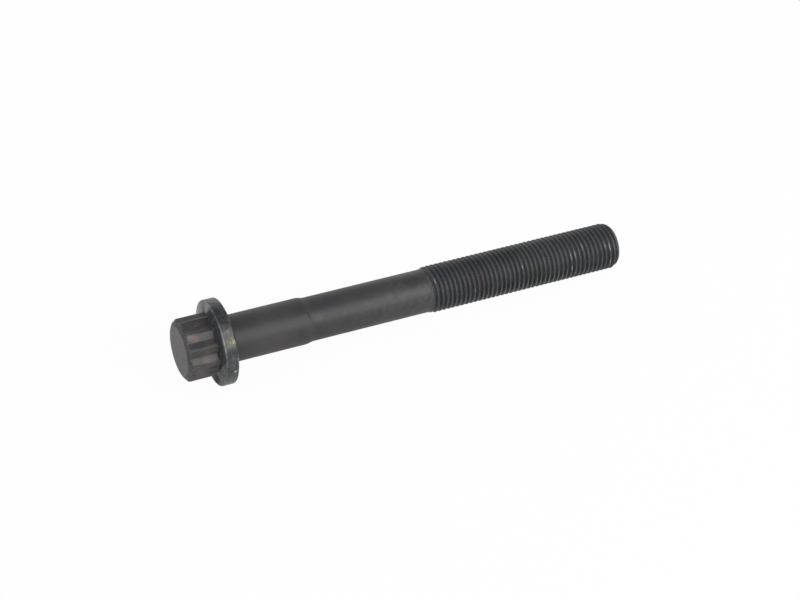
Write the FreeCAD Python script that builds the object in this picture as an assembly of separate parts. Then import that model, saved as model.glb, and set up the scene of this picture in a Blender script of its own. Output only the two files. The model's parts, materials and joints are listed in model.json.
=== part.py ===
import FreeCAD, Part
import math
import os

# Cylinder head bolt: a twelve-point head with an integral round flange, a guide collar under
# the flange, a waisted shank and a long fine thread. It is forged and rolled from one bar, so
# it is one solid.
#
# Sizes are in millimetres. The bolt is drawn along its own axis: X runs from the flange's
# bearing face, where X is 0, towards the threaded end. It is then laid down as it comes to
# rest on a table, on the flange's rim and on the thread, with the origin still at the
# centre of the bearing face and +Z up. The thread is drawn as the cylinder that touches its
# crests.

# Shank and thread
under_head_length = 106.5      # bearing face to the threaded end
collar_diameter = 11.65        # guide collar under the flange
collar_length = 20.3           # bearing face to the start of the taper
collar_taper_length = 1.3      # from the collar down to the waist
waist_diameter = 10.95         # the stretch that yields when the bolt is tightened
thread_diameter = 11.8         # over the crests of the M12 x 1.25 thread
thread_length = 53.1           # from the threaded end, run-out included
thread_runout_length = 2.0     # where the thread rises out of the waist
point_length = 1.3             # lead-in cone at the threaded end
point_diameter = 10.3          # flat at the threaded end
under_head_radius = 1.0        # fillet between the bearing face and the collar

# Flange
flange_diameter = 21.35
flange_rim_thickness = 3.1     # height of the rim, roundings included
flange_slope = 15.0            # degrees that the head side falls away from a flat face
flange_edge_radius = 0.35      # rounding of both edges of the rim

# Twelve-point head
across_flats = 13.7            # of each crossed hexagon, for a 14 mm socket
head_height = 11.4             # bearing face to the head's end
corner_flat_depth = 0.13       # taken off each point of the two crossed hexagons
end_face_inset = 0.4           # the end's flat circle lies this far inside the flats
head_chamfer_angle = 33.0      # degrees between the end chamfer and the end face
end_face_edge_radius = 1.6     # rounding between the end face and its chamfer
valley_radius = 0.4            # fillet along each valley between two points
head_root_radius = 0.6         # fillet between the points and the flange
head_root_inset = 0.2          # how far the root fillet ends inside the valleys

# How the bolt lies
point_up_angle = 4.0           # turn of the points about the bolt's own axis, in degrees

POINTS = 12
PARTS_FOLDER = "parts"
NODE = "cylinder_head_bolt"

collar_radius = collar_diameter / 2
waist_radius = waist_diameter / 2
thread_radius = thread_diameter / 2
point_radius = point_diameter / 2
flange_radius = flange_diameter / 2
flat_radius = across_flats / 2
tip_radius = flat_radius / math.cos(math.radians(180.0 / (POINTS / 2)))
corner_radius = tip_radius - corner_flat_depth
valley_depth_radius = flat_radius / math.cos(math.radians(180.0 / POINTS))
end_face_radius = flat_radius - end_face_inset
point_start = under_head_length - point_length


def rounded_wire(corners):
    """Closed outline through (x, radius, rounding) corners; a rounding makes a tangent arc.

    It is drawn on the side that faces the table, so the seams of the turned faces lie there.
    """
    points = [FreeCAD.Vector(x, 0, -radius) for x, radius, _ in corners]
    count = len(points)
    starts = []
    ends = []
    arcs = []
    for i, corner in enumerate(points):
        rounding = corners[i][2]
        back = (points[i - 1] - corner).normalize()
        ahead = (points[(i + 1) % count] - corner).normalize()
        if rounding == 0:
            starts.append(corner)
            ends.append(corner)
            arcs.append(None)
            continue
        half_angle = back.getAngle(ahead) / 2
        run = rounding / math.tan(half_angle)
        middle = (back + ahead).normalize() * (rounding / math.sin(half_angle) - rounding)
        starts.append(corner + back * run)
        ends.append(corner + ahead * run)
        arcs.append(Part.Arc(starts[i], corner + middle, ends[i]).toShape())
    edges = []
    for i in range(count):
        if arcs[i]:
            edges.append(arcs[i])
        edges.append(Part.LineSegment(ends[i], starts[(i + 1) % count]).toShape())
    return Part.Wire(edges)


def turned(corners):
    """Solid of revolution about the bolt's axis, from an outline that closes on the axis."""
    face = Part.Face(rounded_wire(corners))
    return face.revolve(FreeCAD.Vector(0, 0, 0), FreeCAD.Vector(1, 0, 0), 360)


def shank():
    """Collar, waist and thread, with the fillet that runs into the bearing face."""
    thread_start = under_head_length - thread_length
    return [
        (0, collar_radius, under_head_radius),
        (collar_length, collar_radius, 0),
        (collar_length + collar_taper_length, waist_radius, 0),
        (thread_start, waist_radius, 0),
        (thread_start + thread_runout_length, thread_radius, 0),
        (point_start, thread_radius, 0),
        (under_head_length, point_radius, 0),
        (under_head_length, 0, 0),
    ]


def flange():
    """Rim and sloping head side of the flange, ending in the fillet at the head's root."""
    root_radius = valley_depth_radius - head_root_inset
    slope = math.tan(math.radians(flange_slope))
    root_height = flange_rim_thickness + (flange_radius - root_radius) * slope
    inside = root_height + head_root_radius + head_root_inset
    return [
        (-inside, 0, 0),
        (-inside, root_radius, 0),
        (-root_height, root_radius, head_root_radius),
        (-flange_rim_thickness, flange_radius, flange_edge_radius),
        (0, flange_radius, flange_edge_radius),
    ]


def head_blank():
    """Round blank of the head: the cylinder over the points and the chamfered end."""
    chamfer_slope = math.tan(math.radians(head_chamfer_angle))
    chamfer_height = (corner_radius - end_face_radius) * chamfer_slope
    return [
        (-head_height, 0, 0),
        (-head_height, end_face_radius, end_face_edge_radius),
        (chamfer_height - head_height, corner_radius, 0),
        (-flange_rim_thickness, corner_radius, 0),
        (-flange_rim_thickness, 0, 0),
    ]


def twelve_points():
    """Prism over two crossed hexagons, its valleys rounded, from the rim to the head's end."""
    outline = []
    for i in range(2 * POINTS):
        angle = math.radians(point_up_angle + i * 180.0 / POINTS)
        radius = valley_depth_radius if i % 2 else tip_radius
        outline.append(
            FreeCAD.Vector(-head_height, radius * math.sin(angle), radius * math.cos(angle))
        )
    face = Part.Face(Part.makePolygon(outline + outline[:1]))
    prism = face.extrude(FreeCAD.Vector(head_height - flange_rim_thickness, 0, 0))
    between = (tip_radius + valley_depth_radius) / 2
    valleys = []
    for edge in prism.Edges:
        middle = edge.CenterOfMass
        along_axis = edge.BoundBox.XLength > head_height / 2
        if along_axis and math.hypot(middle.y, middle.z) < between:
            valleys.append(edge)
    return prism.makeFillet(valley_radius, valleys)


def lying_angle():
    """Dip of the axis, in degrees, once the rim and the thread's end both touch the table."""
    rim_contact = -flange_edge_radius
    return math.degrees(math.atan2(flange_radius - thread_radius, point_start - rim_contact))


def cylinder_head_bolt():
    """The whole bolt along its own axis."""
    body = turned(flange() + shank())
    head = twelve_points().common(turned(head_blank()))
    return body.fuse(head).removeSplitter()


os.makedirs(PARTS_FOLDER, exist_ok=True)
bolt = cylinder_head_bolt()
bolt.rotate(FreeCAD.Vector(0, 0, 0), FreeCAD.Vector(0, 1, 0), lying_angle())
bolt.exportStep(os.path.join(PARTS_FOLDER, NODE + ".step"))
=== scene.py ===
"""Cylinder head bolt: twelve-point head, flange, waisted shank and rolled thread, on a pale floor.

The bolt's meshes are drawn in millimetres along +X, from the bearing face at 0 towards the
threaded end, and then laid on the bolt's own axis in the frame, in metres.
"""

import json
import logging
import math
from dataclasses import dataclass
from enum import Enum

import bmesh
import bpy
from bmesh.types import BMEdge, BMesh, BMFace, BMVert
from bpy.types import Material, Node, NodeSocket, NodeTree, Object, World
from mathutils import Matrix, Vector


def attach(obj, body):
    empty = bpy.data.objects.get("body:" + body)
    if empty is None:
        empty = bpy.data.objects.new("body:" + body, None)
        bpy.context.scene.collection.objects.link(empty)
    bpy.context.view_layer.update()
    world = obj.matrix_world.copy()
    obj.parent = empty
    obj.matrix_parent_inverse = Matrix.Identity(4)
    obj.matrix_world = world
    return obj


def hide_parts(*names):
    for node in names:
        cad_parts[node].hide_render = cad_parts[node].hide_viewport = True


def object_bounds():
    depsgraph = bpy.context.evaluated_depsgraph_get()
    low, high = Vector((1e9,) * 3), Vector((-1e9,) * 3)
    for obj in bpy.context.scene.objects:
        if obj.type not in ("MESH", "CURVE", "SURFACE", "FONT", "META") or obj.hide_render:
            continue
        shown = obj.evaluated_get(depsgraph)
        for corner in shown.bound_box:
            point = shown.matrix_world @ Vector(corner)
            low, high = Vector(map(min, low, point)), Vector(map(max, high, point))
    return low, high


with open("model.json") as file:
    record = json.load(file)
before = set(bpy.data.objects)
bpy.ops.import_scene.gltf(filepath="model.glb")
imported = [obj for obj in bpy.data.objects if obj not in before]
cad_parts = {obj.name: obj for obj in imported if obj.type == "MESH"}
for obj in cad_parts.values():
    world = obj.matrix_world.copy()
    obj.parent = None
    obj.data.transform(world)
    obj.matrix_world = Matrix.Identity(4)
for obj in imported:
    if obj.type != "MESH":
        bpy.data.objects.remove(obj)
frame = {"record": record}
cad_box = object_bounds()

MM = 0.001
NODE = "cylinder_head_bolt"
WORN = "worn_edge"
LOG = logging.getLogger(NODE)

# Sockets of a Mix node by number, because those for values and for colours share their names.
FACTOR = 0
VALUE_A = 2
VALUE_B = 3
COLOUR_A = 6
COLOUR_B = 7
MIXED_COLOUR = 2


def linear(colour: str) -> tuple[float, float, float, float]:
    """Turn an sRGB hex colour into the linear colour that a shader takes.

    Args:
        colour: Six hex digits, with or without a hash.

    Returns:
        Red, green, blue and an alpha of 1.
    """
    digits = colour.lstrip("#")
    channels = [int(digits[i:i + 2], 16) / 255 for i in (0, 2, 4)]
    made = [c / 12.92 if c <= 0.04045 else ((c + 0.055) / 1.055) ** 2.4 for c in channels]
    return (*made, 1.0)


def soft_lower(a: float, b: float, blend: float) -> float:
    """Return the lower of two lengths, rounded off where they are within blend of each other."""
    share = max(blend - abs(a - b), 0.0) / blend
    return min(a, b) - share * share * blend / 4


def soft_higher(a: float, b: float, blend: float) -> float:
    """Return the higher of two lengths, rounded off where they are within blend of each other."""
    return -soft_lower(-a, -b, blend)


def ease(low: float, high: float, value: float) -> float:
    """Return 0 below low, 1 above high and a smooth rise between them."""
    share = min(max((value - low) / (high - low), 0.0), 1.0)
    return share * share * (3 - 2 * share)


def radius_of(vert: BMVert) -> float:
    """Return a vertex's distance from the bolt's axis, before it is laid down."""
    return math.hypot(vert.co.y, vert.co.z)


def set_radius(vert: BMVert, radius: float) -> None:
    """Move a vertex straight out or in.

    Args:
        vert: The vertex.
        radius: Its new distance from the bolt's axis.
    """
    old = radius_of(vert)
    vert.co.y *= radius / old
    vert.co.z *= radius / old


def add_node(
    tree: NodeTree, kind: str, settings: dict | None = None, links: dict | None = None
) -> Node:
    """Add a node, set it up and wire its inputs.

    Args:
        tree: The node tree that takes the node.
        kind: The node's type, such as ShaderNodeTexNoise.
        settings: Values by property name, or by input name or number.
        links: Output sockets by input name or number.

    Returns:
        The new node.
    """
    node = tree.nodes.new(kind)
    for key, value in (settings or {}).items():
        if isinstance(key, int) or key in node.inputs:
            node.inputs[key].default_value = value
        else:
            setattr(node, key, value)
    for key, socket in (links or {}).items():
        tree.links.new(socket, node.inputs[key])
    return node


def empty_tree(owner: Material | World) -> NodeTree:
    """Give a material or the world a node tree with nothing in it.

    Args:
        owner: The material or the world.

    Returns:
        Its node tree.
    """
    owner.use_nodes = True
    owner.node_tree.nodes.clear()
    return owner.node_tree


def add_object(name: str, data: bpy.types.ID) -> Object:
    """Put a mesh, a light or a camera into the scene.

    Args:
        name: The object's name.
        data: What the object shows.

    Returns:
        The new object, at the origin.
    """
    added = bpy.data.objects.new(name, data)
    bpy.context.collection.objects.link(added)
    return added


def add_mesh(name: str, bm: BMesh, materials: list[Material]) -> Object:
    """Put a finished bmesh into the scene and free it.

    Args:
        name: The object's name and the mesh's.
        bm: The bmesh.
        materials: Its materials, in the order of its faces' material numbers.

    Returns:
        The new object, at the origin.
    """
    mesh = bpy.data.meshes.new(name)
    bm.to_mesh(mesh)
    bm.free()
    for material in materials:
        mesh.materials.append(material)
    return add_object(name, mesh)


@dataclass(frozen=True)
class BoltAxis:
    """Where the bolt lies: the middle of its bearing face and the way to its threaded end."""

    origin: Vector
    direction: Vector

    @classmethod
    def from_record(cls, record: dict) -> "BoltAxis":
        """Read the bolt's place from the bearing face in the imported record."""
        face = next(m for m in record["mounts"] if m["name"] == "bearing_face")
        return cls(Vector(face["pos_m"]), Vector(face["axis"]).normalized())

    @property
    def dip(self) -> float:
        """Angle, in radians, by which the threaded end lies lower than the head."""
        return -math.asin(self.direction.z)

    def placement(self) -> Matrix:
        """Work out how the bolt is laid down.

        Returns:
            The matrix that takes a mesh drawn in millimetres along +X into the frame.
        """
        side = Vector((0, 1, 0))
        turned = Matrix((self.direction, side, self.direction.cross(side))).transposed()
        return Matrix.Translation(self.origin) @ turned.to_4x4() @ Matrix.Scale(MM, 4)


class Region(Enum):
    """Stretches of the bolt's surface that were made in different ways.

    They are in the order of the body's materials. The thread comes last and has its own mesh.
    """

    END_FACE = 0
    END_CHAMFER = 1
    FLANKS = 2
    FLANGE_CONE = 3
    FLANGE_RIM = 4
    SHANK = 5
    THREAD = 6


class Lay(Enum):
    """Way that the marks of the making run, as how much a pattern is squeezed along X, Y and Z."""

    ROUND = (1.0, 0.04, 0.04)
    ALONG = (0.09, 1.0, 1.0)


class Cover(Enum):
    """What a patch colours within its reach."""

    WHOLE = "the whole patch"
    EDGES = "worn edges and crests alone"
    SPECKS = "scattered specks"


@dataclass(frozen=True)
class Pattern:
    """Noise on the bolt's surface, from 0 to 1 with its middle at 0.5.

    Size is the width of its features in millimetres, detail the number of finer layers and rough
    the strength of each. Offset shifts it, so that two patterns differ. As patches, its values
    below low are left bare and those above high are covered.
    """

    size: float
    detail: float
    rough: float
    offset: tuple[float, float, float] = (0, 0, 0)
    low: float = 0.0
    high: float = 1.0

    def noise(self, tree: NodeTree, place: NodeSocket) -> NodeSocket:
        """Draw the noise itself.

        Args:
            tree: The material's node tree.
            place: Places on the bolt in millimetres.

        Returns:
            The noise's values.
        """
        moved = add_node(tree, "ShaderNodeMapping", {"Location": self.offset}, {0: place})
        return add_node(
            tree, "ShaderNodeTexNoise",
            {"Scale": 1 / self.size, "Detail": self.detail, "Roughness": self.rough},
            {"Vector": moved.outputs[0]},
        ).outputs[0]

    def patches(
        self, tree: NodeTree, place: NodeSocket, least: float = 0.0, most: float = 1.0
    ) -> NodeSocket:
        """Draw the noise as patches with soft outlines.

        Args:
            tree: The material's node tree.
            place: Places on the bolt in millimetres.
            least: Value between the patches.
            most: Value within them.

        Returns:
            The patches' values.
        """
        return add_node(
            tree, "ShaderNodeMapRange",
            {"From Min": self.low, "From Max": self.high, "To Min": least, "To Max": most},
            {"Value": self.noise(tree, place)},
        ).outputs[0]


@dataclass(frozen=True)
class StainOrPaintedLight:
    """Patch of another tint in one place on the bolt, with a cloudy outline. Some are real stains,
    tints and bare specks; others are painted highlights, glints, reflections and shade.

    x is along the axis and turn is in degrees from the top towards +Y, both at radius. Reach and
    the places are in millimetres. The patch is stretch times as long along the axis, matt is
    how far its gloss is gone, and soft is the share of the reach over which it fades.
    """

    x: float
    turn: float
    radius: float
    reach: float
    colour: str
    strength: float
    cover: Cover = Cover.WHOLE
    stretch: float = 1.0
    matt: float = 0.0
    soft: float = 0.8

    def spread(self, tree: NodeTree, place: NodeSocket, edge: NodeSocket) -> NodeSocket:
        """Spread the patch from its middle.

        Args:
            tree: The material's node tree.
            place: Places on the bolt in millimetres.
            edge: How far each place is on a worn edge.

        Returns:
            How strongly the patch covers the film.
        """
        turn = math.radians(self.turn)
        middle = (self.x, self.radius * math.sin(turn), self.radius * math.cos(turn))
        off = add_node(
            tree, "ShaderNodeVectorMath", {"operation": "SUBTRACT", 1: middle}, {0: place}
        )
        squeezed = add_node(
            tree, "ShaderNodeVectorMath", {"operation": "MULTIPLY", 1: (1 / self.stretch, 1, 1)},
            {0: off.outputs[0]},
        )
        distance = add_node(
            tree, "ShaderNodeVectorMath", {"operation": "LENGTH"}, {0: squeezed.outputs[0]}
        )
        cloud = Pattern(self.reach / 2, detail=4, rough=0.6, offset=(3, 41, 11))
        uneven = add_node(
            tree, "ShaderNodeMath",
            {"operation": "MULTIPLY_ADD", 1: self.reach, 2: -self.reach / 2},
            {0: cloud.noise(tree, place)},
        )
        reached = add_node(
            tree, "ShaderNodeMath", {"operation": "ADD"},
            {0: distance.outputs["Value"], 1: uneven.outputs[0]},
        )
        patch = add_node(
            tree, "ShaderNodeMapRange",
            {
                "From Min": self.reach,
                "From Max": self.reach * (1 - self.soft),
                "To Max": self.strength,
            },
            {"Value": reached.outputs[0]},
        ).outputs[0]
        if self.cover is Cover.WHOLE:
            return patch
        specks = Pattern(0.32, detail=3, rough=0.7, offset=(19, 5, 41), low=0.5, high=0.62)
        shown = edge if self.cover is Cover.EDGES else specks.patches(tree, place)
        return add_node(
            tree, "ShaderNodeMath", {"operation": "MULTIPLY"}, {0: patch, 1: shown}
        ).outputs[0]


@dataclass(frozen=True)
class PhosphateFilm:
    """Black phosphated and oiled steel: a thin crystalline film, dark, satin and a little cloudy.

    The film scatters a few percent of the light and shines broadly under its oil. Lengths are in
    millimetres. Its real crystals are about 0.01 mm, too fine to show, so the grain is drawn
    coarser. A mottle of clouds, grain and the marks of the making, from 0 to 1, takes the film
    from dark to light and from smooth to rough.
    """

    name: str
    dark: str
    light: str
    warm: str
    worn: str
    dark_below: float = 0.38
    light_above: float = 0.62
    roughness: float = 0.42
    roughness_spread: float = 0.10
    smooth_below: float = 0.3
    rough_above: float = 0.7
    worn_roughness: float = 0.30
    matt_roughness: float = 0.85
    worn_metal: float = 0.4
    oil_gloss: float = 0.5
    cloud_size: float = 4.0
    warm_size: float = 2.5
    warm_share: float = 0.35
    grain_size: float = 0.4
    grain_share: float = 0.45
    grain_depth: float = 0.010
    speckle_size: float = 0.45
    speckle_share: float = 0.25
    lay: Lay = Lay.ROUND
    mark_size: float = 0.3
    mark_depth: float = 0.0
    mark_share: float = 0.0
    worn_patch_size: float = 1.6
    worn_patch_least: float = 0.25
    worn_share: float = 0.6
    stains_and_painted_light: tuple[StainOrPaintedLight, ...] = ()

    def material(self, axis: BoltAxis) -> Material:
        """Make the finish's material.

        Args:
            axis: The bolt's axis, so that tool marks run round it.

        Returns:
            The new material.
        """
        material = bpy.data.materials.new(self.name)
        tree = empty_tree(material)
        place = add_node(
            tree, "ShaderNodeMapping",
            {"Scale": (1 / MM,) * 3, "Rotation": (0, -axis.dip, 0)},
            {0: add_node(tree, "ShaderNodeTexCoord").outputs["Object"]},
        ).outputs[0]
        edge = add_node(tree, "ShaderNodeAttribute", {"attribute_name": WORN}).outputs["Fac"]
        squeezed = add_node(tree, "ShaderNodeMapping", {"Scale": self.lay.value}, {0: place})
        cloud = Pattern(self.cloud_size, detail=5, rough=0.55).noise(tree, place)
        grain = Pattern(self.grain_size, detail=2, rough=0.6).noise(tree, place)
        marks = Pattern(self.mark_size, detail=3, rough=0.6).noise(tree, squeezed.outputs[0])
        grained = add_node(
            tree, "ShaderNodeMix", {FACTOR: self.grain_share}, {VALUE_A: cloud, VALUE_B: grain}
        )
        mottle = add_node(
            tree, "ShaderNodeMix", {FACTOR: self.mark_share},
            {VALUE_A: grained.outputs[0], VALUE_B: marks},
        ).outputs[0]
        worn = self._worn_off(tree, place, edge)
        colour = self._colour(tree, place, mottle, worn)
        rough = self._roughness(tree, mottle, worn)
        colour, rough = self._stained_and_painted(tree, place, edge, colour, rough)
        metal = add_node(
            tree, "ShaderNodeMath", {"operation": "MULTIPLY", 1: self.worn_metal}, {0: worn}
        )
        shader = add_node(
            tree, "ShaderNodeBsdfPrincipled",
            {"Specular IOR Level": self.oil_gloss},
            {
                "Base Color": colour,
                "Roughness": rough,
                "Metallic": metal.outputs[0],
                "Normal": self._relief(tree, grain, marks),
            },
        )
        add_node(tree, "ShaderNodeOutputMaterial", {}, {0: shader.outputs[0]})
        return material

    def _worn_off(self, tree: NodeTree, place: NodeSocket, edge: NodeSocket) -> NodeSocket:
        """Rub the film off in speckles and along the edges marked as worn.

        Args:
            tree: The material's node tree.
            place: Places on the bolt in millimetres.
            edge: How far each place is on a worn edge.

        Returns:
            How far the film is gone.
        """
        rubbed = Pattern(
            self.worn_patch_size, detail=3, rough=0.6, offset=(5, 23, 47), low=0.42, high=0.68
        )
        uneven = add_node(
            tree, "ShaderNodeMath", {"operation": "MULTIPLY"},
            {0: edge, 1: rubbed.patches(tree, place, least=self.worn_patch_least)},
        )
        edges = add_node(
            tree, "ShaderNodeMath", {"operation": "MULTIPLY", 1: self.worn_share},
            {0: uneven.outputs[0]},
        )
        speckles = Pattern(
            self.speckle_size, detail=2, rough=0.7, offset=(17, 3, 29), low=0.56, high=0.72
        )
        return add_node(
            tree, "ShaderNodeMath", {"operation": "MAXIMUM"},
            {0: edges.outputs[0], 1: speckles.patches(tree, place, most=self.speckle_share)},
        ).outputs[0]

    def _colour(
        self, tree: NodeTree, place: NodeSocket, mottle: NodeSocket, worn: NodeSocket
    ) -> NodeSocket:
        """Mottle the film from dark to light, warm it in patches and bare it where it is worn.

        Args:
            tree: The material's node tree.
            place: Places on the bolt in millimetres.
            mottle: The cloudy pattern that the film follows.
            worn: How far the film is gone.

        Returns:
            The colour, before the stains and the painted light and shade.
        """
        tone = add_node(
            tree, "ShaderNodeMapRange",
            {"From Min": self.dark_below, "From Max": self.light_above}, {"Value": mottle},
        )
        film = add_node(
            tree, "ShaderNodeMix",
            {"data_type": "RGBA", COLOUR_A: linear(self.dark), COLOUR_B: linear(self.light)},
            {FACTOR: tone.outputs[0]},
        )
        brownish = Pattern(
            self.warm_size, detail=4, rough=0.6, offset=(31, 7, 19), low=0.45, high=0.7
        )
        warmed = add_node(
            tree, "ShaderNodeMix", {"data_type": "RGBA", COLOUR_B: linear(self.warm)},
            {
                FACTOR: brownish.patches(tree, place, most=self.warm_share),
                COLOUR_A: film.outputs[MIXED_COLOUR],
            },
        )
        return add_node(
            tree, "ShaderNodeMix", {"data_type": "RGBA", COLOUR_B: linear(self.worn)},
            {FACTOR: worn, COLOUR_A: warmed.outputs[MIXED_COLOUR]},
        ).outputs[MIXED_COLOUR]

    def _roughness(self, tree: NodeTree, mottle: NodeSocket, worn: NodeSocket) -> NodeSocket:
        """Vary the roughness with the mottle, and even it out where the film is worn.

        Args:
            tree: The material's node tree.
            mottle: The cloudy pattern that the film follows.
            worn: How far the film is gone.

        Returns:
            The roughness, before the stains and the painted light and shade.
        """
        film = add_node(
            tree, "ShaderNodeMapRange",
            {
                "From Min": self.smooth_below,
                "From Max": self.rough_above,
                "To Min": self.roughness - self.roughness_spread,
                "To Max": self.roughness + self.roughness_spread,
            },
            {"Value": mottle},
        )
        return add_node(
            tree, "ShaderNodeMix", {VALUE_B: self.worn_roughness},
            {FACTOR: worn, VALUE_A: film.outputs[0]},
        ).outputs[0]

    def _stained_and_painted(
        self,
        tree: NodeTree,
        place: NodeSocket,
        edge: NodeSocket,
        colour: NodeSocket,
        rough: NodeSocket,
    ) -> tuple[NodeSocket, NodeSocket]:
        """Lay the stains and the painted light and shade over the film, one over another.

        Args:
            tree: The material's node tree.
            place: Places on the bolt in millimetres.
            edge: How far each place is on a worn edge.
            colour: The film's colour.
            rough: The film's roughness.

        Returns:
            The colour and the roughness with the stains and the painted light and shade.
        """
        for stain_or_light in self.stains_and_painted_light:
            patch = stain_or_light.spread(tree, place, edge)
            colour = add_node(
                tree, "ShaderNodeMix", {"data_type": "RGBA", COLOUR_B: linear(stain_or_light.colour)},
                {FACTOR: patch, COLOUR_A: colour},
            ).outputs[MIXED_COLOUR]
            if stain_or_light.matt:
                dry = add_node(
                    tree, "ShaderNodeMath", {"operation": "MULTIPLY", 1: stain_or_light.matt}, {0: patch}
                )
                rough = add_node(
                    tree, "ShaderNodeMix", {VALUE_B: self.matt_roughness},
                    {FACTOR: dry.outputs[0], VALUE_A: rough},
                ).outputs[0]
        return colour, rough

    def _relief(self, tree: NodeTree, grain: NodeSocket, marks: NodeSocket) -> NodeSocket:
        """Raise the grain, and the marks of the making, if there are any.

        Args:
            tree: The material's node tree.
            grain: The film's crystals.
            marks: The marks of the making.

        Returns:
            The surface's bumped normal.
        """
        relief = add_node(
            tree, "ShaderNodeBump", {"Strength": 1.0, "Distance": self.grain_depth * MM},
            {"Height": grain},
        ).outputs[0]
        if self.mark_depth:
            relief = add_node(
                tree, "ShaderNodeBump", {"Strength": 1.0, "Distance": self.mark_depth * MM},
                {"Height": marks, "Normal": relief},
            ).outputs[0]
        return relief


@dataclass
class HeadAndShank:
    """Forged and turned stretch of the bolt, from the head's end to the start of the thread.

    Lengths are in millimetres and angles in degrees. The last four fields tell the regions apart:
    x past which a face is on the shank, the share of the chamfer's angle that still counts as the
    end face, and how far along the axis the normals of the flanks and of the slope point.
    """

    across_flats: float = 13.7
    head_height: float = 11.4
    corner_flat_depth: float = 0.13
    end_face_inset: float = 0.4
    head_chamfer_angle: float = 33.0
    end_face_rounding: float = 1.6
    point_edge_rounding: float = 0.18
    point_side_blend: float = 0.22
    valley_blend: float = 0.08
    head_root_rounding: float = 0.4
    flange_diameter: float = 21.35
    flange_rim_thickness: float = 3.1
    flange_slope: float = 15.0
    flange_edge_rounding: float = 0.35
    under_head_rounding: float = 1.0
    collar_diameter: float = 11.65
    collar_length: float = 20.3
    collar_taper_length: float = 1.3
    waist_diameter: float = 10.95
    waist_end: float = 53.2
    taper_rounding: float = 4.0
    point_up_angle: float = 4.0
    points: int = 12
    steps_per_point: int = 32
    merge_distance: float = 0.002
    ring_tolerance: float = 0.01
    shank_from: float = 0.02
    end_face_share: float = 0.25
    flank_normal: float = 0.2
    slope_normal: float = 0.7

    @property
    def point_radius(self) -> float:
        """Radius over the flattened points."""
        sharp = self.across_flats / 2 / math.cos(math.pi * 2 / self.points)
        return sharp - self.corner_flat_depth

    def outline(self) -> dict[str, tuple[float, float]]:
        """Work out the turned outline.

        Returns:
            Its corners by name, as x and radius, from the head's end on.
        """
        flat = self.across_flats / 2 - self.end_face_inset
        over = self.point_radius
        fall = (over - flat) * math.tan(math.radians(self.head_chamfer_angle))
        rise = (self.flange_diameter / 2 - over) * math.tan(math.radians(self.flange_slope))
        taper_end = self.collar_length + self.collar_taper_length
        return {
            "pole": (-self.head_height, 0.0),
            "end_face": (-self.head_height, flat),
            "point_edge": (fall - self.head_height, over),
            "root": (-self.flange_rim_thickness - rise, over),
            "rim_head_side": (-self.flange_rim_thickness, self.flange_diameter / 2),
            "rim_bearing_side": (0.0, self.flange_diameter / 2),
            "under_head": (0.0, self.collar_diameter / 2),
            "collar_end": (self.collar_length, self.collar_diameter / 2),
            "taper_end": (taper_end, self.waist_diameter / 2),
            "waist_end": (self.waist_end, self.waist_diameter / 2),
            "inside": (self.waist_end, 0.0),
        }

    def flank_radius(self, turn: float) -> float:
        """Return the radius of the head's twelve-point outline at an angle about the axis.

        Args:
            turn: Angle in radians from the top towards +Y.

        Returns:
            The radius, rounded at the points' sides and in the valleys.
        """
        step = math.tau / self.points
        on = (turn - math.radians(self.point_up_angle)) % step
        flat = self.across_flats / 2
        star = soft_higher(flat / math.cos(step - on), flat / math.cos(on), self.valley_blend)
        return soft_lower(self.point_radius, star, self.point_side_blend)

    def build(self) -> BMesh:
        """Turn the blank, press the twelve points into it and round its edges.

        Returns:
            The mesh, along +X in millimetres.
        """
        bm = bmesh.new()
        corners = self.outline()
        verts = [bm.verts.new((x, 0, radius)) for x, radius in corners.values()]
        edges = [bm.edges.new(pair) for pair in zip(verts, verts[1:])]
        bmesh.ops.spin(
            bm, geom=verts + edges, cent=(0, 0, 0), axis=(1, 0, 0), angle=math.tau,
            steps=self.points * self.steps_per_point, use_merge=True,
        )
        bmesh.ops.remove_doubles(bm, verts=bm.verts, dist=self.merge_distance)
        rings = {name: self._ring(bm, *corner) for name, corner in corners.items() if corner[1]}
        self._press_points(rings)
        for name, rounding, segments in (
            ("end_face", self.end_face_rounding, 8),
            ("point_edge", self.point_edge_rounding, 4),
            ("root", self.head_root_rounding, 4),
            ("rim_head_side", self.flange_edge_rounding, 5),
            ("rim_bearing_side", self.flange_edge_rounding, 5),
            ("under_head", self.under_head_rounding, 6),
            ("collar_end", self.taper_rounding, 4),
            ("taper_end", self.taper_rounding, 4),
        ):
            self._round(bm, rings[name], rounding, segments)
        bmesh.ops.recalc_face_normals(bm, faces=bm.faces)
        return bm

    def _ring(self, bm: BMesh, x: float, radius: float) -> list[BMEdge]:
        """Find the ring that one corner of the outline made.

        Args:
            bm: The turned blank.
            x: The corner's place along the bolt.
            radius: The corner's distance from the axis.

        Returns:
            The ring's edges.
        """
        near = {
            vert for vert in bm.verts
            if math.dist((vert.co.x, radius_of(vert)), (x, radius)) < self.ring_tolerance
        }
        return [edge for edge in bm.edges if near.issuperset(edge.verts)]

    def _press_points(self, rings: dict[str, list[BMEdge]]) -> None:
        """Press the flats in, along the end chamfer's cone and along the flange's slope.

        Args:
            rings: Edges of the outline's rings by corner name.
        """
        for name, angle in (("point_edge", self.head_chamfer_angle), ("root", self.flange_slope)):
            for vert in {v for edge in rings[name] for v in edge.verts}:
                radius = self.flank_radius(math.atan2(vert.co.y, vert.co.z))
                vert.co.x -= (radius_of(vert) - radius) * math.tan(math.radians(angle))
                set_radius(vert, radius)

    def _round(self, bm: BMesh, ring: list[BMEdge], rounding: float, segments: int) -> None:
        """Round the edges of a ring.

        Args:
            bm: The blank.
            ring: The ring's edges.
            rounding: Radius of the rounding in millimetres.
            segments: Number of faces across it.
        """
        turn = sum(edge.calc_face_angle() for edge in ring) / len(ring)
        bmesh.ops.bevel(
            bm, geom=ring, affect="EDGES", offset_type="OFFSET",
            offset=rounding * math.tan(turn / 2), segments=segments, profile=0.5, material=-1,
        )

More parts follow.
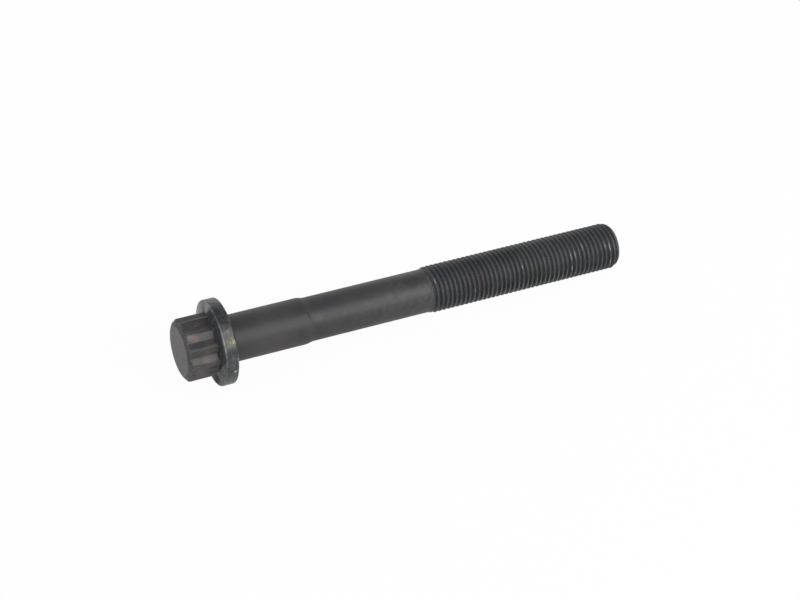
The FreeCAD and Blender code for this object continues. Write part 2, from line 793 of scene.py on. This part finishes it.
    def region(self, face: BMFace) -> Region:
        """Tell which stretch of the surface a face is on.

        Args:
            face: A face of the finished mesh.

        Returns:
            Its region.
        """
        middle = face.calc_center_median()
        radius = math.hypot(middle.y, middle.z)
        foot_radius = self.collar_diameter / 2 + self.under_head_rounding
        if middle.x > self.shank_from and radius < foot_radius:
            return Region.SHANK
        if middle.x < self.outline()["root"][0] and abs(face.normal.x) < self.flank_normal:
            return Region.FLANKS
        if middle.x < -self.head_height / 2:
            tilt = math.radians(self.head_chamfer_angle * self.end_face_share)
            on_chamfer = face.normal.x > -math.cos(tilt)
            return Region.END_CHAMFER if on_chamfer else Region.END_FACE
        if middle.x < -self.flange_rim_thickness and face.normal.x < -self.slope_normal:
            return Region.FLANGE_CONE
        return Region.FLANGE_RIM


@dataclass
class RolledThread:
    """M12 x 1.25 right-hand thread, rolled, with its run-out and the lead-in cone at its end.

    Lengths are in millimetres and ratios are to the pitch. Depth and root follow the standard's
    ratios. Each crest rounds off between the lip and the seam, on both sides of its middle. The
    crests rise out of the waist from rise_start to rise_end, and the groove between them deepens
    from groove_start to groove_full.
    """

    diameter: float = 11.8
    pitch: float = 1.25
    depth_ratio: float = 0.61343
    root_ratio: float = 0.14434
    lip_ratio: float = 0.085
    lip_drop: float = 0.05
    seam_ratio: float = 0.045
    first_crest: float = 50.78
    start: float = 52.5
    end: float = 106.5
    rise_start: float = 52.7
    rise_end: float = 54.8
    rise_from_diameter: float = 10.9
    groove_start: float = 53.2
    groove_full: float = 54.4
    point_length: float = 1.3
    point_diameter: float = 10.3
    point_blend: float = 0.06
    end_edge_rounding: float = 0.3
    crest_seam_depth: float = 0.02
    worn_depth: float = 0.09
    steps_per_turn: int = 96
    merge_distance: float = 0.015
    cut_tolerance: float = 1e-5

    @property
    def depth(self) -> float:
        """Depth of the thread from crest to root."""
        return self.depth_ratio * self.pitch

    def groove_outline(self) -> list[tuple[float, float]]:
        """Draw one pitch of the thread, from root to root.

        The root is an arc between 60-degree flanks. The crest keeps the shallow seam that rolling
        leaves where the metal of both flanks meets.

        Returns:
            Points as x and radius.
        """
        root = self.diameter / 2 - self.depth
        arc = self.root_ratio * self.pitch
        half = [
            (arc * math.sin(angle), root + arc * (1 - math.cos(angle)))
            for angle in map(math.radians, (0, 30, 60))
        ]
        crest = self.diameter / 2
        lip = self.pitch / 2 - self.lip_ratio * self.pitch
        lip_radius = crest - self.lip_drop
        foot_x, foot_radius = half[-1]
        for share in (1 / 3, 2 / 3):
            half.append((
                foot_x + (lip - foot_x) * share, foot_radius + (lip_radius - foot_radius) * share
            ))
        half.append((lip, lip_radius))
        half.append((self.pitch / 2 - self.seam_ratio * self.pitch, crest))
        top = (self.pitch / 2, crest - self.crest_seam_depth)
        return half + [top] + [(self.pitch - x, radius) for x, radius in reversed(half)]

    def build(self) -> BMesh:
        """Sweep the groove round the shank, fade it out at both ends and cut it to length.

        Returns:
            The mesh, along +X in millimetres.
        """
        bm = bmesh.new()
        first = self.first_crest - self.pitch / 2
        verts = [bm.verts.new((first + x, 0, radius)) for x, radius in self.groove_outline()]
        edges = [bm.edges.new(pair) for pair in zip(verts, verts[1:])]
        bmesh.ops.spin(
            bm, geom=verts + edges, cent=(0, 0, 0), axis=(1, 0, 0),
            dvec=(self.pitch / self.steps_per_turn, 0, 0), angle=math.tau,
            steps=self.steps_per_turn,
        )
        turns = 1
        while first + turns * self.pitch < self.end + self.pitch:
            bmesh.ops.translate(bm, vec=(turns * self.pitch, 0, 0), verts=self._copy(bm))
            turns *= 2
        bmesh.ops.remove_doubles(bm, verts=bm.verts, dist=self.merge_distance)
        worn = bm.verts.layers.float.new(WORN)
        for vert in bm.verts:
            cut = self.diameter / 2 - radius_of(vert)
            vert[worn] = 1 - ease(0.0, self.worn_depth, cut)
            set_radius(vert, self._radius_at(vert.co.x, cut))
        for x, outward in ((self.start, -1), (self.end, 1)):
            cut_off = bmesh.ops.bisect_plane(
                bm, geom=bm.verts[:] + bm.edges[:] + bm.faces[:], dist=self.cut_tolerance,
                plane_co=(x, 0, 0), plane_no=(outward, 0, 0), clear_outer=True,
            )
            rim = [e for e in cut_off["geom_cut"] if isinstance(e, BMEdge)]
            bmesh.ops.contextual_create(bm, geom=rim)
        bmesh.ops.recalc_face_normals(bm, faces=bm.faces)
        return bm

    def _copy(self, bm: BMesh) -> list[BMVert]:
        """Copy the whole mesh in place and return the copy's vertices."""
        made = bmesh.ops.duplicate(bm, geom=bm.verts[:] + bm.edges[:] + bm.faces[:])
        return [item for item in made["geom"] if isinstance(item, BMVert)]

    def _radius_at(self, x: float, cut: float) -> float:
        """Fit a point of the groove to the run-out and to the lead-in cone.

        Args:
            x: Place along the bolt.
            cut: How far the point lies below the crest.

        Returns:
            The point's radius.
        """
        low = self.rise_from_diameter / 2
        outside = low + (self.diameter / 2 - low) * ease(self.rise_start, self.rise_end, x)
        shaped = outside - cut * ease(self.groove_start, self.groove_full, x)
        left = max(self.end - x, 0.0)
        slope = (self.diameter - self.point_diameter) / 2 / self.point_length
        short = max(self.end_edge_rounding - left, 0.0) / self.end_edge_rounding
        cone = self.point_diameter / 2 + slope * left - short * short * self.end_edge_rounding / 2
        return soft_lower(shaped, cone, self.point_blend)


# Radius of the flange's rim and of the thread's crests, for the stains and the painted light on
# them.
RIM = HeadAndShank.flange_diameter / 2
CREST = RolledThread.diameter / 2

# Painted highlight: a near-white glint along the edge between the flange's rim and its slope.
PAINTED_EDGE_HIGHLIGHT = StainOrPaintedLight(-3.05, -52, RIM, 3.4, "#cfd0d2", 0.55, stretch=0.07)

# Each stretch of the surface is the same black phosphated steel in a state of its own.
FINISHES: dict[Region, PhosphateFilm] = {
    # Forged flat and then phosphated: a matt, sandy grey, the lightest face of the bolt.
    Region.END_FACE: PhosphateFilm(
        "phosphated_forged_end_face", "#555354", "#807e7f", "#756d6b", "#a4a2a1",
        roughness=0.46, grain_size=0.45, grain_share=0.65, grain_depth=0.013,
        speckle_share=0.4, worn_share=0.15, worn_metal=0.1,
    ),
    # Same forged skin, drawn over the die's edge: darker, with a coarser grain.
    Region.END_CHAMFER: PhosphateFilm(
        "phosphated_forged_chamfer", "#363435", "#646162", "#585150", "#8e8c8b",
        roughness=0.46, grain_size=0.5, grain_share=0.75, grain_depth=0.016,
        speckle_share=0.4, worn_share=0.15, worn_metal=0.1,
    ),
    # Pressed through the twelve-point die: fine scratches along the axis and a cloudy brown-black
    # film, with rubbed light patches, faint rust, and darker patches, the largest at the top next
    # to the flange.
    Region.FLANKS: PhosphateFilm(
        "phosphated_forged_flanks", "#262528", "#5a5758", "#584c4c", "#3c3a3c",
        roughness=0.36, cloud_size=2.0, warm_share=0.5, speckle_share=0.0,
        worn_share=1.0, worn_roughness=0.75, worn_metal=0.0,
        lay=Lay.ALONG, mark_size=0.3, mark_depth=0.006, mark_share=0.6,
        stains_and_painted_light=(
            StainOrPaintedLight(-8.9, -32, 7.3, 1.5, "#7e6860", 0.7),
            StainOrPaintedLight(-10.3, -28, 7.3, 1.3, "#85807f", 0.6),
            StainOrPaintedLight(-5.4, -84, 7.5, 1.6, "#675e6c", 0.55),
            StainOrPaintedLight(-7.2, -80, 7.3, 1.3, "#73706f", 0.5),
            StainOrPaintedLight(-9.8, -80, 7.3, 1.6, "#5f6055", 0.5),
            StainOrPaintedLight(-7.4, -72, 7.3, 1.5, "#5e4a4a", 0.5),
            StainOrPaintedLight(-6.2, -60, 7.3, 2.2, "#4a4a3e", 0.7),
            StainOrPaintedLight(-9.0, -50, 7.3, 1.6, "#353b41", 0.7),
            StainOrPaintedLight(-9.2, -8, 7.3, 2.0, "#363b41", 0.7),
            # Darker at the top next to the flange.
            StainOrPaintedLight(-4.6, -2, 7.3, 2.8, "#333735", 0.75),
            StainOrPaintedLight(-8.6, -102, 7.3, 3.2, "#605b5e", 0.55),
            StainOrPaintedLight(-7.5, 4, 7.8, 4.5, "#262224", 0.9, Cover.EDGES, matt=1.0),
        ),
    ),
    # Turned smooth: faint rings under a film that the oil makes almost mirror-like, so it shows
    # the head. Its patches are painted reflection, light and shade: grey and matt dark ones beside
    # the root and on the underside, lighter ones on the upper side, and a painted highlight along
    # the rim's edge.
    Region.FLANGE_CONE: PhosphateFilm(
        "phosphated_turned_cone", "#282b2b", "#3d4140", "#3a3931", "#b4b5b5",
        roughness=0.11, roughness_spread=0.04, cloud_size=2.0, mark_size=0.1,
        mark_depth=0.003, mark_share=0.5, grain_share=0.6, speckle_share=0.3,
        worn_share=0.9, worn_roughness=0.2, worn_metal=0.7,
        stains_and_painted_light=(
            # Painted reflection and shade: grey and matt dark patches where the slope mirrors the
            # head and lies in its shadow.
            StainOrPaintedLight(-3.4, -10, 9.5, 1.9, "#34373a", 0.9, matt=1.0),
            StainOrPaintedLight(-3.6, -14, 9.0, 2.4, "#3c3f42", 0.7),
            StainOrPaintedLight(-3.7, -38, 8.7, 2.6, "#4a4d50", 0.85),
            # Painted light: the slope's upper side lighter out to the rim's edge, where it mirrors
            # the bright walls.
            StainOrPaintedLight(-3.5, 38, 9.2, 4.4, "#5f5f5e", 0.8),
            StainOrPaintedLight(-3.3, 14, 9.8, 1.9, "#a2a2a1", 0.7, soft=0.5),
            # Painted shade: matt dark patches beside the root at the top.
            StainOrPaintedLight(-3.8, -3, 7.3, 2.8, "#3a3d40", 0.9, matt=1.0, soft=0.3),
            StainOrPaintedLight(-3.95, 22, 7.1, 1.4, "#303336", 0.9, matt=1.0, soft=0.3),
            # Painted shade: near-black matt patches on the slope's underside, where it mirrors the
            # shaded floor.
            StainOrPaintedLight(-3.7, -143, 8.3, 2.8, "#14161b", 0.8, matt=0.85),
            StainOrPaintedLight(-3.5, -158, 9.4, 2.8, "#14161b", 0.8, matt=0.85),
            # Painted highlight along the edge between the rim and the slope.
            PAINTED_EDGE_HIGHLIGHT,
        ),
    ),
    # Turned and handled most: blue-black, satin and blotchy, worn bright at the edges, with a
    # straw-coloured patch and one bare speck, and a painted highlight along its edge to the slope.
    Region.FLANGE_RIM: PhosphateFilm(
        "phosphated_turned_rim", "#14171c", "#2c3135", "#2b2a26", "#a4a5a5",
        roughness=0.24, roughness_spread=0.09, cloud_size=2.5, mark_size=0.3,
        mark_depth=0.006, mark_share=0.35, grain_share=0.6, speckle_size=0.3,
        speckle_share=0.45, worn_share=0.9, worn_roughness=0.2, worn_metal=0.7,
        stains_and_painted_light=(
            StainOrPaintedLight(-1.6, -14, RIM, 4.2, "#1e2028", 0.6),
            StainOrPaintedLight(-1.2, -52, RIM, 2.4, "#504c3b", 0.75),
            StainOrPaintedLight(-0.7, -54, RIM, 1.2, "#cfcaa4", 0.85, Cover.SPECKS),
            StainOrPaintedLight(-1.4, -68, RIM, 1.6, "#2b343c", 0.8),
            StainOrPaintedLight(-0.05, -45, RIM, 7.0, "#14171c", 0.9, stretch=0.06, matt=0.9, soft=0.5),
            StainOrPaintedLight(-1.5, -122, RIM, 5.0, "#58585c", 0.8),
            StainOrPaintedLight(-1.06, -97.2, RIM, 0.5, "#c4c4ba", 0.85),
            # Painted highlight along the edge between the rim and the slope.
            PAINTED_EDGE_HIGHLIGHT,
        ),
    ),
    # Turned and evenly coated: a quiet charcoal grey with a broad soft shine, and painted light on
    # the collar's top and underside next to the flange.
    Region.SHANK: PhosphateFilm(
        "phosphated_turned_shank", "#39393a", "#454546", "#484343", "#5c5c5c",
        roughness=0.42, oil_gloss=0.38, cloud_size=5.0, warm_share=0.3, mark_size=0.4,
        mark_depth=0.004, mark_share=0.15, grain_share=0.5, speckle_share=0.15, worn_metal=0.1,
        stains_and_painted_light=(
            # Painted light with a pinkish tint on the collar's underside, and painted light on its
            # top, lifting the flange's shade.
            StainOrPaintedLight(10.0, -98, 5.8, 5.5, "#545051", 0.55, stretch=2.0),
            StainOrPaintedLight(11.5, 0, 5.8, 4.5, "#5a5a5b", 0.35, stretch=1.8),
            StainOrPaintedLight(14.0, 38, 5.8, 3.2, "#5e4c3a", 0.5, stretch=2.5),
            StainOrPaintedLight(20.6, -42, 5.7, 1.3, "#222223", 0.7, stretch=0.3),
            StainOrPaintedLight(23.0, -50, 5.5, 1.8, "#5c5c5d", 0.4),
            StainOrPaintedLight(27.5, -24, 5.5, 2.2, "#454353", 0.45, stretch=1.6),
            StainOrPaintedLight(38.0, 5, 5.5, 3.5, "#363637", 0.5, stretch=4.0),
            StainOrPaintedLight(50.0, -12, 5.5, 3.0, "#2c2c2e", 0.5, stretch=1.6),
        ),
    ),
    # Rolled, then coated: bluish grey flanks, dark roots and crests rubbed lighter, with short
    # painted glints on the crests, painted light along the upper side, and painted shade in the
    # grooves and painted highlights on the crests along the underside.
    Region.THREAD: PhosphateFilm(
        "phosphated_rolled_thread", "#3c3d40", "#515356", "#4c4745", "#77797c",
        roughness=0.38, oil_gloss=0.36, cloud_size=3.0, warm_share=0.4, worn_share=0.25,
        grain_size=0.3, grain_depth=0.018,
        stains_and_painted_light=(
            # Painted light: the thread lighter along its upper half.
            StainOrPaintedLight(80.0, -14, CREST, 7.0, "#5e6064", 0.35, stretch=8.0),
            # Painted shade in the grooves along the underside, and painted highlights on the
            # crests there.
            StainOrPaintedLight(80.0, -116, CREST, 3.4, "#202224", 0.6, stretch=9.0),
            StainOrPaintedLight(80.0, -116, CREST, 3.4, "#a8aaac", 0.6, Cover.EDGES, stretch=9.0),
            # Painted light: crests lighter along the top edge.
            StainOrPaintedLight(80.0, 30, CREST, 3.2, "#a2a39d", 0.7, Cover.EDGES, stretch=9.0),
            StainOrPaintedLight(66.0, -8, CREST, 2.6, "#334145", 0.5, stretch=4.0),
            # Painted glints: short near-white streaks on the crests.
            StainOrPaintedLight(54.6, -34, CREST, 0.9, "#b4b4b6", 0.8, Cover.EDGES),
            StainOrPaintedLight(78.6, -52, CREST, 0.8, "#a8a8a6", 0.7, Cover.EDGES),
            StainOrPaintedLight(81.7, -66, CREST, 0.8, "#a8a8a6", 0.7, Cover.EDGES),
            StainOrPaintedLight(65.2, -80, CREST, 0.9, "#a6aaa2", 0.8, Cover.EDGES),
            StainOrPaintedLight(92.5, -86, CREST, 0.9, "#b4b09c", 0.8, Cover.EDGES),
            StainOrPaintedLight(103.7, -98, CREST, 1.3, "#b0b0b2", 0.8, Cover.EDGES),
            StainOrPaintedLight(57.0, -8, CREST, 2.4, "#3c4c54", 0.6),
            # Painted glints on the crests.
            StainOrPaintedLight(103.5, -56, CREST, 1.2, "#bcbbb6", 0.9, Cover.EDGES),
            StainOrPaintedLight(102.4, -50, CREST, 1.1, "#a4a39e", 0.8, Cover.EDGES),
            StainOrPaintedLight(92.8, -53, CREST, 1.5, "#b4b3ae", 0.8, Cover.EDGES),
            StainOrPaintedLight(96.0, -38, CREST, 1.3, "#a4a39e", 0.8, Cover.EDGES),
            StainOrPaintedLight(75.5, 4, CREST, 5.0, "#3c4443", 0.7),
            StainOrPaintedLight(66.0, -60, CREST, 4.5, "#4a4346", 0.7),
            StainOrPaintedLight(82.0, -75, CREST, 3.5, "#44463f", 0.7),
        ),
    ),
}


@dataclass
class Bolt:
    """The whole bolt: its two meshes and its place.

    An outward edge is worn where it turns by more than worn_from degrees, and most at worn_to.
    """

    axis: BoltAxis
    body: HeadAndShank
    thread: RolledThread
    worn_from: float = 5.0
    worn_to: float = 14.0

    def build(self) -> list[Object]:
        """Make the bolt's two pieces, laid down on its axis and dressed.

        Returns:
            The head with the shank, and the thread.
        """
        materials = [FINISHES[region].material(self.axis) for region in Region]
        body = self.body.build()
        self._mark_worn(body)
        for face in body.faces:
            face.material_index = self.body.region(face).value
        rolled = Region.THREAD.value
        return [
            self._piece("head_and_shank", body, materials[:rolled]),
            self._piece("rolled_thread", self.thread.build(), materials[rolled:]),
        ]

    def _mark_worn(self, bm: BMesh) -> None:
        """Mark the body's outward edges as worn, by how sharply they turn.

        Args:
            bm: The body's mesh.
        """
        low, high = math.radians(self.worn_from), math.radians(self.worn_to)
        worn = bm.verts.layers.float.new(WORN)
        for vert in bm.verts:
            sharpest = max(edge.calc_face_angle_signed(0.0) for edge in vert.link_edges)
            vert[worn] = ease(low, high, sharpest)

    def _piece(self, name: str, bm: BMesh, materials: list[Material]) -> Object:
        """Lay a mesh on the bolt's axis and make it a piece that stands for the CAD node.

        Args:
            name: The piece's name.
            bm: Its mesh, along +X in millimetres.
            materials: Its materials, in the order of its faces' material numbers.

        Returns:
            The piece.
        """
        bmesh.ops.transform(bm, matrix=self.axis.placement(), verts=bm.verts)
        for face in bm.faces:
            face.smooth = True
        piece = add_mesh(name, bm, materials)
        piece.modifiers.new("even_shading", "WEIGHTED_NORMAL").keep_sharp = True
        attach(piece, "root")
        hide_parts(NODE)
        return piece


@dataclass
class Studio:
    """Plain pale floor, white surroundings, one large soft box and the camera.

    The camera sees the floor and the walls as plain white, and the bolt's shadow faintly: a glow
    takes the place of the floor's own light for it, a little above 1 to make up for the share
    that is left to the shadow. Shiny surfaces see a stronger shadow. Lengths are in metres. The
    walls' heights are the sines of the angle above the horizon.
    """

    floor_radius: float = 1.5
    floor_sides: int = 96
    floor_colour: str = "#d3d3d3"
    white: str = "#ffffff"
    shadow_share_seen: float = 0.05
    shadow_share_mirrored: float = 0.7
    glow_level: float = 1.02
    wall_bottom: float = 0.15
    wall_top: float = 0.75
    bottom_level: float = 0.95
    top_level: float = 0.3
    box_size: float = 0.50
    box_distance: float = 0.60
    box_aim: tuple[float, float, float] = (0.05, 0.0, 0.0)
    box_radiance: float = 2.5
    box_direction: tuple[float, float, float] = (0.381, -0.710, 0.591)
    camera_heading: float = 65.2
    camera_elevation: float = 38.5
    bearing_face_seen: tuple[float, float, float] = (-0.0425, 0.0097, 0.5296)
    focal_pixels: float = 2200.0
    frame_pixels: float = 800.0
    sensor_width: float = 36.0
    nearest_seen: float = 0.01

    def build(self, floor_height: float) -> None:
        """Set the bolt's surroundings up.

        Args:
            floor_height: Height of the floor in metres, at the bolt's lowest point.
        """
        self._floor(floor_height)
        self._world()
        self._soft_box()
        self._camera()
        bpy.context.scene.view_settings.view_transform = "Standard"

    def _floor(self, height: float) -> None:
        """Lay the floor: white to the camera and in reflections, and shaded by the bolt.

        Args:
            height: Its height in metres.
        """
        bm = bmesh.new()
        bmesh.ops.create_circle(
            bm, cap_ends=True, segments=self.floor_sides, radius=self.floor_radius
        )
        bmesh.ops.translate(bm, verts=bm.verts, vec=(0, 0, height))
        material = bpy.data.materials.new("matt_white_floor")
        tree = empty_tree(material)
        plain = add_node(tree, "ShaderNodeBsdfDiffuse", {"Color": linear(self.floor_colour)})
        glow = add_node(
            tree, "ShaderNodeEmission", {"Color": linear(self.white), "Strength": self.glow_level}
        )
        share = add_node(
            tree, "ShaderNodeMapRange",
            {"To Min": self.shadow_share_mirrored, "To Max": self.shadow_share_seen},
            {"Value": add_node(tree, "ShaderNodeLightPath").outputs["Is Camera Ray"]},
        )
        shown = add_node(
            tree, "ShaderNodeMixShader", {},
            {0: share.outputs[0], 1: glow.outputs[0], 2: plain.outputs[0]},
        )
        mixed = add_node(
            tree, "ShaderNodeMixShader", {},
            {0: self._seen(tree), 1: plain.outputs[0], 2: shown.outputs[0]},
        )
        add_node(tree, "ShaderNodeOutputMaterial", {}, {0: mixed.outputs[0]})
        floor = add_mesh("floor", bm, [material])

    def _seen(self, tree: NodeTree) -> NodeSocket:
        """Tell the rays that see the floor's glow from those that light the bolt.

        Args:
            tree: The floor's node tree.

        Returns:
            1 for rays from the camera and from shiny or clear surfaces.
        """
        rays = add_node(tree, "ShaderNodeLightPath")
        shiny = add_node(
            tree, "ShaderNodeMath", {"operation": "MAXIMUM"},
            {0: rays.outputs["Is Camera Ray"], 1: rays.outputs["Is Glossy Ray"]},
        )
        return add_node(
            tree, "ShaderNodeMath", {"operation": "MAXIMUM"},
            {0: shiny.outputs[0], 1: rays.outputs["Is Transmission Ray"]},
        ).outputs[0]

    def _world(self) -> None:
        """Surround the bolt with white walls that darken towards the ceiling."""
        world = bpy.data.worlds.new("studio_walls")
        bpy.context.scene.world = world
        tree = empty_tree(world)
        height = add_node(
            tree, "ShaderNodeSeparateXYZ", {},
            {0: add_node(tree, "ShaderNodeTexCoord").outputs["Generated"]},
        )
        level = add_node(
            tree, "ShaderNodeMapRange",
            {
                "From Min": self.wall_bottom, "From Max": self.wall_top,
                "To Min": self.bottom_level, "To Max": self.top_level,
            },
            {"Value": height.outputs["Z"]},
        )
        rays = add_node(tree, "ShaderNodeLightPath")
        paint = linear(self.white)
        walls = add_node(
            tree, "ShaderNodeBackground", {"Color": paint}, {"Strength": level.outputs[0]}
        )
        white = add_node(tree, "ShaderNodeBackground", {"Color": paint, "Strength": 1.0})
        mixed = add_node(
            tree, "ShaderNodeMixShader", {},
            {0: rays.outputs["Is Camera Ray"], 1: walls.outputs[0], 2: white.outputs[0]},
        )
        add_node(tree, "ShaderNodeOutputWorld", {}, {0: mixed.outputs[0]})

    def _soft_box(self) -> None:
        """Hang the soft box where the shank mirrors it to the camera."""
        lamp = bpy.data.lights.new("soft_box", "AREA")
        lamp.shape = "SQUARE"
        lamp.size = self.box_size
        lamp.energy = self.box_radiance * math.pi * self.box_size ** 2
        box = add_object("soft_box", lamp)
        towards = Vector(self.box_direction).normalized()
        box.location = towards * self.box_distance + Vector(self.box_aim)
        box.rotation_euler = towards.to_track_quat("Z", "Y").to_euler()

    def _camera(self) -> None:
        """Place the camera from where it sees the middle of the bearing face."""
        heading = math.radians(self.camera_heading)
        elevation = math.radians(self.camera_elevation)
        ahead = Vector((
            math.cos(elevation) * math.cos(heading),
            math.cos(elevation) * math.sin(heading),
            -math.sin(elevation),
        ))
        right = Vector((math.sin(heading), -math.cos(heading), 0))
        down = ahead.cross(right)
        across, below, away = self.bearing_face_seen
        data = bpy.data.cameras.new("camera")
        data.sensor_width = self.sensor_width
        data.lens = self.focal_pixels * self.sensor_width / self.frame_pixels
        data.clip_start = self.nearest_seen
        camera = add_object("camera", data)
        camera.location = -(right * across + down * below + ahead * away)
        camera.rotation_euler = (-ahead).to_track_quat("Z", "Y").to_euler()
        bpy.context.scene.camera = camera


def main() -> None:
    """Build the bolt and its surroundings."""
    logging.basicConfig(level=logging.INFO)
    axis = BoltAxis.from_record(frame["record"])
    for piece in Bolt(axis, HeadAndShank(), RolledThread()).build():
        LOG.info("%s: %d faces", piece.name, len(piece.data.polygons))
    Studio().build(cad_box[0].z)
    LOG.info("floor, walls, soft box and camera stand")


if __name__ == "__main__":
    main()
